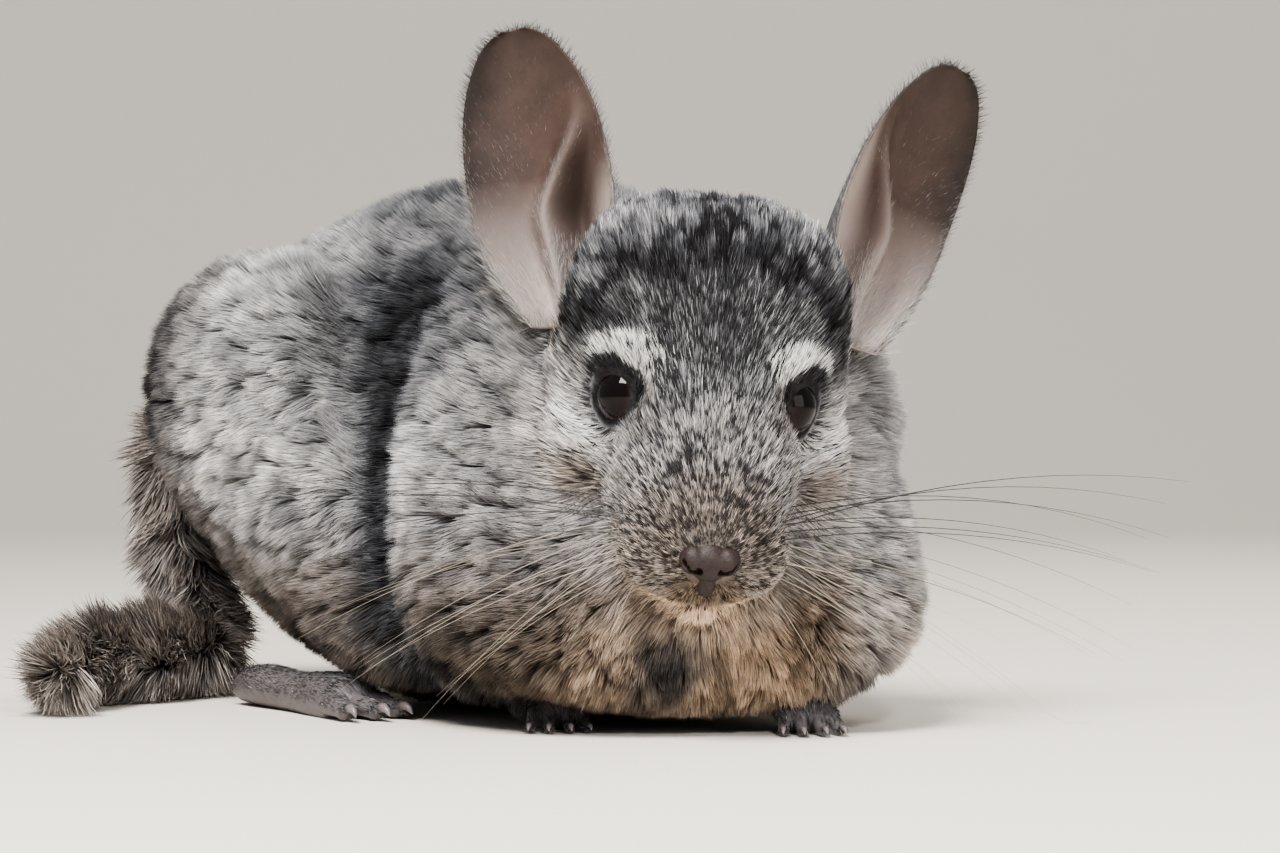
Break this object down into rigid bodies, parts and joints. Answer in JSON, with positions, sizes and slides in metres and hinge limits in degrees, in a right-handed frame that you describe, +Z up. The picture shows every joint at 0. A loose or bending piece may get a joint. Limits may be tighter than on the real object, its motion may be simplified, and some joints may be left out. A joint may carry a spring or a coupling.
{
  "type": "chinchilla still model",
  "caption": "Crouching chinchilla, life size, round furry body, cupped upright ears, long whiskers, head turned to its right, tail on the floor.",
  "frame": {"origin": "on the flat of the belly where the animal rests on the floor, under the middle of its trunk", "axes": "+Z up, +Y from the shoulders to the rump along the trunk, +X to the animal's left; the head faces -Y and turns towards -X"},
  "size_m": [0.1917, 0.2312, 0.1387],
  "materials": {
    "coat_grey": "dense soft grey fur with dark ticking",
    "coat_slate": "dark slate fur",
    "ear_skin": "thin skin with short hairs",
    "paw_skin": "soft skin with short pale hairs",
    "eye": "wet and glossy"
  },
  "bodies": {
    "root": {"head": "coat_grey", "neck": "coat_grey", "torso": "coat_grey", "haunch_left": "coat_grey", "haunch_right": "coat_grey", "foreleg_left": "coat_slate", "foreleg_right": "coat_slate", "tail_root": "coat_slate", "tail_tip": "coat_slate", "ear_left": "ear_skin", "ear_right": "ear_skin", "eye_left": "eye", "eye_right": "eye", "forepaw_left": "paw_skin", "forepaw_right": "paw_skin", "hind_foot_left": "paw_skin", "hind_foot_right": "paw_skin"}
  },
  "joints": []
}
